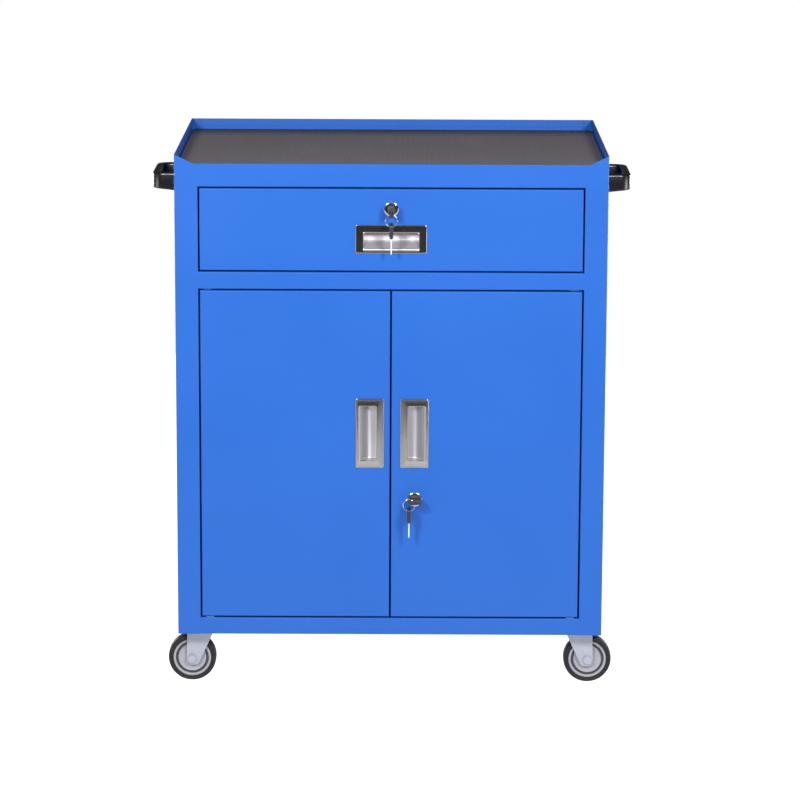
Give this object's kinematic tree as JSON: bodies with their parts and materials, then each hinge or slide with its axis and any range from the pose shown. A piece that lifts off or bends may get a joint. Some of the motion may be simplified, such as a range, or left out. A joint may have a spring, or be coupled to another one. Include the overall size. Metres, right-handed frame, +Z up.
{
  "type": "rolling tool chest",
  "caption": "Steel cabinet on swivel casters with a lockable drawer over a two-door cupboard, a rimmed tray top with a rubber mat, and side handles.",
  "frame": {"origin": "on the floor, under the middle of the overall footprint, keys included", "axes": "+Z up, +Y towards the back, +X to the right as seen from the front"},
  "size_m": [0.772, 0.499, 0.8632],
  "materials": {
    "blue_paint": "satin powder coat",
    "mat_rubber": "matt, finely ribbed",
    "handle_plastic": "satin moulded",
    "zinc": "bright zinc plate",
    "pull_metal": "nickel plate, soft polish",
    "lock_metal": "chrome plate",
    "key_plastic": "black moulded bow on a nickel blade",
    "nylon": "natural nylon",
    "wheel_plastic": "grey moulded",
    "tyre_rubber": "solid black rubber"
  },
  "bodies": {
    "cabinet": {"side_panel_left": "blue_paint", "side_panel_right": "blue_paint", "back_panel": "blue_paint", "floor_pan": "blue_paint", "tray_pan": "blue_paint", "tray_mat": "mat_rubber", "top_rail": "blue_paint", "middle_rail": "blue_paint", "bottom_rail": "blue_paint", "shelf": "blue_paint", "shelf_clips": "zinc", "drawer_slide_brackets": "blue_paint", "drawer_slide_outers": "zinc", "side_handle_left": "handle_plastic", "side_handle_right": "handle_plastic", "handle_screws": "zinc", "door_bushes": "nylon", "door_catches": "nylon", "caster_plates": "zinc", "caster_king_pins": "zinc", "caster_bolts": "zinc"},
    "drawer": {"drawer_front": "blue_paint", "drawer_box": "blue_paint", "drawer_slide_inners": "zinc", "drawer_pull": "pull_metal", "drawer_lock_body": "lock_metal"},
    "slide_middles": {"drawer_slide_middles": "zinc"},
    "drawer_lock_barrel": {"drawer_lock_plug": "lock_metal", "drawer_lock_cam": "zinc"},
    "drawer_key": {"drawer_key": "key_plastic"},
    "drawer_key_ring": {"drawer_key_ring": "lock_metal"},
    "drawer_spare_key": {"drawer_spare_key": "key_plastic"},
    "left_door": {"left_door_panel": "blue_paint", "left_door_pull": "pull_metal", "left_door_pins": "zinc"},
    "right_door": {"right_door_panel": "blue_paint", "right_door_pull": "pull_metal", "right_door_pins": "zinc", "door_lock_body": "lock_metal"},
    "door_lock_barrel": {"door_lock_plug": "lock_metal", "door_lock_cam": "zinc"},
    "door_key": {"door_key": "key_plastic"},
    "door_key_ring": {"door_key_ring": "lock_metal"},
    "door_spare_key": {"door_spare_key": "key_plastic"},
    "caster_front_left_swivel": {"caster_front_left_fork": "zinc", "caster_front_left_axle": "zinc"},
    "caster_front_left_wheel": {"caster_front_left_hub": "wheel_plastic", "caster_front_left_tyre": "tyre_rubber"},
    "caster_front_right_swivel": {"caster_front_right_fork": "zinc", "caster_front_right_axle": "zinc"},
    "caster_front_right_wheel": {"caster_front_right_hub": "wheel_plastic", "caster_front_right_tyre": "tyre_rubber"},
    "caster_rear_left_swivel": {"caster_rear_left_fork": "zinc", "caster_rear_left_axle": "zinc"},
    "caster_rear_left_wheel": {"caster_rear_left_hub": "wheel_plastic", "caster_rear_left_tyre": "tyre_rubber"},
    "caster_rear_right_swivel": {"caster_rear_right_fork": "zinc", "caster_rear_right_axle": "zinc"},
    "caster_rear_right_wheel": {"caster_rear_right_hub": "wheel_plastic", "caster_rear_right_tyre": "tyre_rubber"}
  },
  "joints": [
    {"name": "drawer_slide", "type": "slide", "parent": "cabinet", "child": "drawer", "axis": [0, -1, 0], "range_m": [0, 0.35]},
    {"name": "slide_middles_travel", "type": "slide", "parent": "cabinet", "child": "slide_middles", "axis": [0, -1, 0], "range_m": [0, 0.175]},
    {"name": "drawer_lock_turn", "type": "hinge", "parent": "drawer", "child": "drawer_lock_barrel", "pos_m": [0, -0.2155, 0.7793], "axis": [0, -1, 0], "range_deg": [0, 90]},
    {"name": "drawer_key_pull", "type": "slide", "parent": "drawer_lock_barrel", "child": "drawer_key", "axis": [0, -1, 0], "range_m": [0, 0.026]},
    {"name": "drawer_ring_swing", "type": "hinge", "parent": "drawer_key", "child": "drawer_key_ring", "pos_m": [0, -0.2385, 0.7733], "axis": [-1, 0, 0], "range_deg": [-8, 60]},
    {"name": "drawer_spare_key_swing", "type": "hinge", "parent": "drawer_key_ring", "child": "drawer_spare_key", "pos_m": [0, -0.2385, 0.7543], "axis": [-1, 0, 0], "range_deg": [-10, 40]},
    {"name": "left_door_hinge", "type": "hinge", "parent": "cabinet", "child": "left_door", "pos_m": [-0.289, -0.2081, 0.1184], "axis": [0, 0, -1], "range_deg": [0, 110]},
    {"name": "right_door_hinge", "type": "hinge", "parent": "cabinet", "child": "right_door", "pos_m": [0.289, -0.2081, 0.1184], "axis": [0, 0, 1], "range_deg": [0, 110]},
    {"name": "door_lock_turn", "type": "hinge", "parent": "right_door", "child": "door_lock_barrel", "pos_m": [0.039, -0.2155, 0.3129], "axis": [0, -1, 0], "range_deg": [0, 90]},
    {"name": "door_key_pull", "type": "slide", "parent": "door_lock_barrel", "child": "door_key", "axis": [0, -1, 0], "range_m": [0, 0.026]},
    {"name": "door_ring_swing", "type": "hinge", "parent": "door_key", "child": "door_key_ring", "pos_m": [0.02975, -0.2385, 0.3174], "axis": [-1, 0, 0], "range_deg": [-10, 10]},
    {"name": "door_spare_key_swing", "type": "hinge", "parent": "door_key_ring", "child": "door_spare_key", "pos_m": [0.02975, -0.2385, 0.2984], "axis": [-1, 0, 0], "range_deg": [-10, 40]},
    {"name": "caster_front_left_swivel_turn", "type": "hinge", "parent": "cabinet", "child": "caster_front_left_swivel", "pos_m": [-0.3, -0.1665, 0.0882], "axis": [0, 0, 1], "continuous": true},
    {"name": "caster_front_left_wheel_spin", "type": "hinge", "parent": "caster_front_left_swivel", "child": "caster_front_left_wheel", "pos_m": [-0.32, -0.1665, 0.0386], "axis": [0, 1, 0], "continuous": true},
    {"name": "caster_front_right_swivel_turn", "type": "hinge", "parent": "cabinet", "child": "caster_front_right_swivel", "pos_m": [0.3, -0.1665, 0.0882], "axis": [0, 0, 1], "continuous": true},
    {"name": "caster_front_right_wheel_spin", "type": "hinge", "parent": "caster_front_right_swivel", "child": "caster_front_right_wheel", "pos_m": [0.32, -0.1665, 0.0386], "axis": [0, 1, 0], "continuous": true},
    {"name": "caster_rear_left_swivel_turn", "type": "hinge", "parent": "cabinet", "child": "caster_rear_left_swivel", "pos_m": [-0.3, 0.2005, 0.0882], "axis": [0, 0, 1], "continuous": true},
    {"name": "caster_rear_left_wheel_spin", "type": "hinge", "parent": "caster_rear_left_swivel", "child": "caster_rear_left_wheel", "pos_m": [-0.32, 0.2005, 0.0386], "axis": [0, 1, 0], "continuous": true},
    {"name": "caster_rear_right_swivel_turn", "type": "hinge", "parent": "cabinet", "child": "caster_rear_right_swivel", "pos_m": [0.3, 0.2005, 0.0882], "axis": [0, 0, 1], "continuous": true},
    {"name": "caster_rear_right_wheel_spin", "type": "hinge", "parent": "caster_rear_right_swivel", "child": "caster_rear_right_wheel", "pos_m": [0.32, 0.2005, 0.0386], "axis": [0, 1, 0], "continuous": true}
  ],
  "couplings": [
    {"joint": "slide_middles_travel", "follows": "drawer_slide", "ratio": 0.5}
  ]
}
